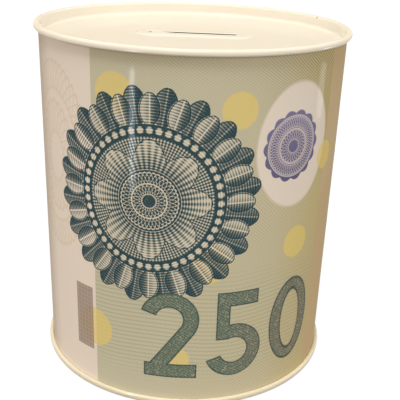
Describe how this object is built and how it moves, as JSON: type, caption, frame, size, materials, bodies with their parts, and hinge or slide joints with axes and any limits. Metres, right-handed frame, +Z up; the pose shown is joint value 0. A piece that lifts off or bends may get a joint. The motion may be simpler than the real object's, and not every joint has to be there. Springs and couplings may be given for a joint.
{
  "type": "coin bank",
  "caption": "Round tinplate money box: printed wall, two rolled-on ends, a coin slot in the sunk top and a push-in stopper in the base.",
  "frame": {"origin": "centre of the base, on the surface that the base rim stands on", "axes": "+Z up along the tin's axis, towards the coin slot; the slot's long side lies along X and the front of the print faces -Y"},
  "size_m": [0.134, 0.134, 0.15],
  "materials": {
    "printed_tinplate": "gloss",
    "cream_enamel": "gloss",
    "stopper_plastic": "satin"
  },
  "bodies": {
    "tin": {"body_shell": "printed_tinplate", "top_end": "cream_enamel", "bottom_end": "cream_enamel"},
    "stopper": {"stopper": "stopper_plastic"}
  },
  "joints": [
    {"name": "stopper_pull", "type": "slide", "parent": "tin", "child": "stopper", "axis": [0, 0, -1], "range_m": [0, 0.06]}
  ]
}
